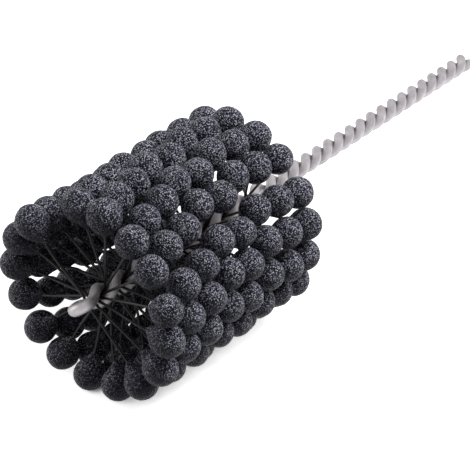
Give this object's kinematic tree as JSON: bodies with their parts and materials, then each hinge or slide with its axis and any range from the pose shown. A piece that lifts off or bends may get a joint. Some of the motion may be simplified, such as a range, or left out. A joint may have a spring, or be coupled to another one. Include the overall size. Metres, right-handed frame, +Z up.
{
  "type": "flexible ball hone",
  "caption": "Flexible ball hone: a bottle-brush head of abrasive balls on nylon filaments, held in a folded and twisted wire stem that a drill chuck grips.",
  "frame": {"origin": "centre of the stem's drive end, on the stem's axis", "axes": "+X along the stem towards the hairpin tip, +Z up, with the hone lying on its balls and its stem level"},
  "size_m": [0.203, 0.0685, 0.0683],
  "materials": {
    "wire": "satin",
    "filament": "satin",
    "grit_ball": "matte"
  },
  "bodies": {
    "stem": {"twisted_wire": "wire"},
    "head": {"filaments_row_1": "filament", "filaments_row_2": "filament", "filaments_row_3": "filament", "filaments_row_4": "filament", "filaments_row_5": "filament", "filaments_row_6": "filament", "filaments_row_7": "filament", "filaments_row_8": "filament"},
    "balls_01_tip": {"balls_01_tip": "grit_ball"},
    "balls_01_mid": {"balls_01_mid": "grit_ball"},
    "balls_01_drive": {"balls_01_drive": "grit_ball"},
    "balls_02_tip": {"balls_02_tip": "grit_ball"},
    "balls_02_mid": {"balls_02_mid": "grit_ball"},
    "balls_02_drive": {"balls_02_drive": "grit_ball"},
    "balls_03_tip": {"balls_03_tip": "grit_ball"},
    "balls_03_mid": {"balls_03_mid": "grit_ball"},
    "balls_03_drive": {"balls_03_drive": "grit_ball"},
    "balls_04_tip": {"balls_04_tip": "grit_ball"},
    "balls_04_mid": {"balls_04_mid": "grit_ball"},
    "balls_04_drive": {"balls_04_drive": "grit_ball"},
    "balls_05_tip": {"balls_05_tip": "grit_ball"},
    "balls_05_mid": {"balls_05_mid": "grit_ball"},
    "balls_05_drive": {"balls_05_drive": "grit_ball"},
    "balls_06_tip": {"balls_06_tip": "grit_ball"},
    "balls_06_mid": {"balls_06_mid": "grit_ball"},
    "balls_06_drive": {"balls_06_drive": "grit_ball"},
    "balls_07_tip": {"balls_07_tip": "grit_ball"},
    "balls_07_mid": {"balls_07_mid": "grit_ball"},
    "balls_07_drive": {"balls_07_drive": "grit_ball"},
    "balls_08_tip": {"balls_08_tip": "grit_ball"},
    "balls_08_mid": {"balls_08_mid": "grit_ball"},
    "balls_08_drive": {"balls_08_drive": "grit_ball"},
    "balls_09_tip": {"balls_09_tip": "grit_ball"},
    "balls_09_mid": {"balls_09_mid": "grit_ball"},
    "balls_09_drive": {"balls_09_drive": "grit_ball"},
    "balls_10_tip": {"balls_10_tip": "grit_ball"},
    "balls_10_mid": {"balls_10_mid": "grit_ball"},
    "balls_10_drive": {"balls_10_drive": "grit_ball"},
    "balls_11_tip": {"balls_11_tip": "grit_ball"},
    "balls_11_mid": {"balls_11_mid": "grit_ball"},
    "balls_11_drive": {"balls_11_drive": "grit_ball"},
    "balls_12_tip": {"balls_12_tip": "grit_ball"},
    "balls_12_mid": {"balls_12_mid": "grit_ball"},
    "balls_12_drive": {"balls_12_drive": "grit_ball"},
    "balls_13_tip": {"balls_13_tip": "grit_ball"},
    "balls_13_mid": {"balls_13_mid": "grit_ball"},
    "balls_13_drive": {"balls_13_drive": "grit_ball"},
    "balls_14_tip": {"balls_14_tip": "grit_ball"},
    "balls_14_mid": {"balls_14_mid": "grit_ball"},
    "balls_14_drive": {"balls_14_drive": "grit_ball"},
    "balls_15_tip": {"balls_15_tip": "grit_ball"},
    "balls_15_mid": {"balls_15_mid": "grit_ball"},
    "balls_15_drive": {"balls_15_drive": "grit_ball"},
    "balls_16_tip": {"balls_16_tip": "grit_ball"},
    "balls_16_mid": {"balls_16_mid": "grit_ball"},
    "balls_16_drive": {"balls_16_drive": "grit_ball"}
  },
  "joints": [
    {"name": "swirl", "type": "hinge", "parent": "stem", "child": "head", "pos_m": [0.16, 0, 0], "axis": [1, 0, 0], "range_deg": [-12, 12], "stiffness_Nm_per_rad": 1.7, "deforming": ["filaments_row_1", "filaments_row_2", "filaments_row_3", "filaments_row_4", "filaments_row_5", "filaments_row_6", "filaments_row_7", "filaments_row_8"]},
    {"name": "press_01_tip", "type": "slide", "parent": "head", "child": "balls_01_tip", "axis": [0, -0.3613, 0.9325], "range_m": [-0.0035, 0], "stiffness_N_per_m": 1500},
    {"name": "press_01_mid", "type": "slide", "parent": "head", "child": "balls_01_mid", "axis": [0, -0.5249, 0.8512], "range_m": [-0.0035, 0], "stiffness_N_per_m": 1000},
    {"name": "press_01_drive", "type": "slide", "parent": "head", "child": "balls_01_drive", "axis": [0, -0.5608, 0.8279], "range_m": [-0.0035, 0], "stiffness_N_per_m": 1500},
    {"name": "press_02_tip", "type": "slide", "parent": "head", "child": "balls_02_tip", "axis": [0, 0.016, 0.9999], "range_m": [-0.0035, 0], "stiffness_N_per_m": 1500},
    {"name": "press_02_mid", "type": "slide", "parent": "head", "child": "balls_02_mid", "axis": [0, -0.1662, 0.9861], "range_m": [-0.0035, 0], "stiffness_N_per_m": 1000},
    {"name": "press_02_drive", "type": "slide", "parent": "head", "child": "balls_02_drive", "axis": [0, -0.2082, 0.9781], "range_m": [-0.0035, 0], "stiffness_N_per_m": 1500},
    {"name": "press_03_tip", "type": "slide", "parent": "head", "child": "balls_03_tip", "axis": [0, 0.4038, 0.9149], "range_m": [-0.0035, 0], "stiffness_N_per_m": 1500},
    {"name": "press_03_mid", "type": "slide", "parent": "head", "child": "balls_03_mid", "axis": [0, 0.2306, 0.9731], "range_m": [-0.0035, 0], "stiffness_N_per_m": 1000},
    {"name": "press_03_drive", "type": "slide", "parent": "head", "child": "balls_03_drive", "axis": [0, 0.1888, 0.982], "range_m": [-0.0035, 0], "stiffness_N_per_m": 1500},
    {"name": "press_04_tip", "type": "slide", "parent": "head", "child": "balls_04_tip", "axis": [0, 0.7123, 0.7019], "range_m": [-0.0035, 0], "stiffness_N_per_m": 1500},
    {"name": "press_04_mid", "type": "slide", "parent": "head", "child": "balls_04_mid", "axis": [0, 0.5727, 0.8198], "range_m": [-0.0035, 0], "stiffness_N_per_m": 1000},
    {"name": "press_04_drive", "type": "slide", "parent": "head", "child": "balls_04_drive", "axis": [0, 0.5371, 0.8435], "range_m": [-0.0035, 0], "stiffness_N_per_m": 1500},
    {"name": "press_05_tip", "type": "slide", "parent": "head", "child": "balls_05_tip", "axis": [0, 0.929, 0.3701], "range_m": [-0.0035, 0], "stiffness_N_per_m": 1500},
    {"name": "press_05_mid", "type": "slide", "parent": "head", "child": "balls_05_mid", "axis": [0, 0.8461, 0.533], "range_m": [-0.0035, 0], "stiffness_N_per_m": 1000},
    {"name": "press_05_drive", "type": "slide", "parent": "head", "child": "balls_05_drive", "axis": [0, 0.8226, 0.5687], "range_m": [-0.0035, 0], "stiffness_N_per_m": 1500},
    {"name": "press_06_tip", "type": "slide", "parent": "head", "child": "balls_06_tip", "axis": [0, 1, -0.0065], "range_m": [-0.0035, 0], "stiffness_N_per_m": 1500},
    {"name": "press_06_mid", "type": "slide", "parent": "head", "child": "balls_06_mid", "axis": [0, 0.9845, 0.1756], "range_m": [-0.0035, 0], "stiffness_N_per_m": 1000},
    {"name": "press_06_drive", "type": "slide", "parent": "head", "child": "balls_06_drive", "axis": [0, 0.9761, 0.2175], "range_m": [-0.0035, 0], "stiffness_N_per_m": 1500},
    {"name": "press_07_tip", "type": "slide", "parent": "head", "child": "balls_07_tip", "axis": [0, 0.9252, -0.3795], "range_m": [-0.0035, 0], "stiffness_N_per_m": 1500},
    {"name": "press_07_mid", "type": "slide", "parent": "head", "child": "balls_07_mid", "axis": [0, 0.9788, -0.2048], "range_m": [-0.0035, 0], "stiffness_N_per_m": 1000},
    {"name": "press_07_drive", "type": "slide", "parent": "head", "child": "balls_07_drive", "axis": [0, 0.9867, -0.1628], "range_m": [-0.0035, 0], "stiffness_N_per_m": 1500},
    {"name": "press_08_tip", "type": "slide", "parent": "head", "child": "balls_08_tip", "axis": [0, 0.7053, -0.7089], "range_m": [-0.0035, 0], "stiffness_N_per_m": 1500},
    {"name": "press_08_mid", "type": "slide", "parent": "head", "child": "balls_08_mid", "axis": [0, 0.8226, -0.5687], "range_m": [-0.0035, 0], "stiffness_N_per_m": 1000},
    {"name": "press_08_drive", "type": "slide", "parent": "head", "child": "balls_08_drive", "axis": [0, 0.8461, -0.533], "range_m": [-0.0035, 0], "stiffness_N_per_m": 1500},
    {"name": "press_09_tip", "type": "slide", "parent": "head", "child": "balls_09_tip", "axis": [0, 0.3927, -0.9197], "range_m": [-0.0035, 0], "stiffness_N_per_m": 1500},
    {"name": "press_09_mid", "type": "slide", "parent": "head", "child": "balls_09_mid", "axis": [0, 0.5535, -0.8329], "range_m": [-0.0035, 0], "stiffness_N_per_m": 1000},
    {"name": "press_09_drive", "type": "slide", "parent": "head", "child": "balls_09_drive", "axis": [0, 0.5886, -0.8085], "range_m": [-0.0035, 0], "stiffness_N_per_m": 1500},
    {"name": "press_10_tip", "type": "slide", "parent": "head", "child": "balls_10_tip", "axis": [0, 0.006, -1], "range_m": [-0.0035, 0], "stiffness_N_per_m": 1500},
    {"name": "press_10_mid", "type": "slide", "parent": "head", "child": "balls_10_mid", "axis": [0, 0.1879, -0.9822], "range_m": [-0.0035, 0], "stiffness_N_per_m": 1000},
    {"name": "press_10_drive", "type": "slide", "parent": "head", "child": "balls_10_drive", "axis": [0, 0.2297, -0.9733], "range_m": [-0.0035, 0], "stiffness_N_per_m": 1500},
    {"name": "press_11_tip", "type": "slide", "parent": "head", "child": "balls_11_tip", "axis": [0, -0.3668, -0.9303], "range_m": [-0.0035, 0], "stiffness_N_per_m": 1500},
    {"name": "press_11_mid", "type": "slide", "parent": "head", "child": "balls_11_mid", "axis": [0, -0.1914, -0.9815], "range_m": [-0.0035, 0], "stiffness_N_per_m": 1000},
    {"name": "press_11_drive", "type": "slide", "parent": "head", "child": "balls_11_drive", "axis": [0, -0.1493, -0.9888], "range_m": [-0.0035, 0], "stiffness_N_per_m": 1500},
    {"name": "press_12_tip", "type": "slide", "parent": "head", "child": "balls_12_tip", "axis": [0, -0.6927, -0.7213], "range_m": [-0.0035, 0], "stiffness_N_per_m": 1500},
    {"name": "press_12_mid", "type": "slide", "parent": "head", "child": "balls_12_mid", "axis": [0, -0.5499, -0.8352], "range_m": [-0.0035, 0], "stiffness_N_per_m": 1000},
    {"name": "press_12_drive", "type": "slide", "parent": "head", "child": "balls_12_drive", "axis": [0, -0.5137, -0.858], "range_m": [-0.0035, 0], "stiffness_N_per_m": 1500},
    {"name": "press_13_tip", "type": "slide", "parent": "head", "child": "balls_13_tip", "axis": [0, -0.9174, -0.3981], "range_m": [-0.0035, 0], "stiffness_N_per_m": 1500},
    {"name": "press_13_mid", "type": "slide", "parent": "head", "child": "balls_13_mid", "axis": [0, -0.8296, -0.5583], "range_m": [-0.0035, 0], "stiffness_N_per_m": 1000},
    {"name": "press_13_drive", "type": "slide", "parent": "head", "child": "balls_13_drive", "axis": [0, -0.805, -0.5933], "range_m": [-0.0035, 0], "stiffness_N_per_m": 1500},
    {"name": "press_14_tip", "type": "slide", "parent": "head", "child": "balls_14_tip", "axis": [0, -0.9999, -0.0118], "range_m": [-0.0035, 0], "stiffness_N_per_m": 1500},
    {"name": "press_14_mid", "type": "slide", "parent": "head", "child": "balls_14_mid", "axis": [0, -0.9811, -0.1935], "range_m": [-0.0035, 0], "stiffness_N_per_m": 1000},
    {"name": "press_14_drive", "type": "slide", "parent": "head", "child": "balls_14_drive", "axis": [0, -0.9719, -0.2353], "range_m": [-0.0035, 0], "stiffness_N_per_m": 1500},
    {"name": "press_15_tip", "type": "slide", "parent": "head", "child": "balls_15_tip", "axis": [0, -0.9349, 0.3548], "range_m": [-0.0035, 0], "stiffness_N_per_m": 1500},
    {"name": "press_15_mid", "type": "slide", "parent": "head", "child": "balls_15_mid", "axis": [0, -0.9839, 0.1788], "range_m": [-0.0035, 0], "stiffness_N_per_m": 1000},
    {"name": "press_15_drive", "type": "slide", "parent": "head", "child": "balls_15_drive", "axis": [0, -0.9906, 0.1366], "range_m": [-0.0035, 0], "stiffness_N_per_m": 1500},
    {"name": "press_16_tip", "type": "slide", "parent": "head", "child": "balls_16_tip", "axis": [0, -0.729, 0.6846], "range_m": [-0.0035, 0], "stiffness_N_per_m": 1500},
    {"name": "press_16_mid", "type": "slide", "parent": "head", "child": "balls_16_mid", "axis": [0, -0.8413, 0.5405], "range_m": [-0.0035, 0], "stiffness_N_per_m": 1000},
    {"name": "press_16_drive", "type": "slide", "parent": "head", "child": "balls_16_drive", "axis": [0, -0.8637, 0.504], "range_m": [-0.0035, 0], "stiffness_N_per_m": 1500}
  ]
}
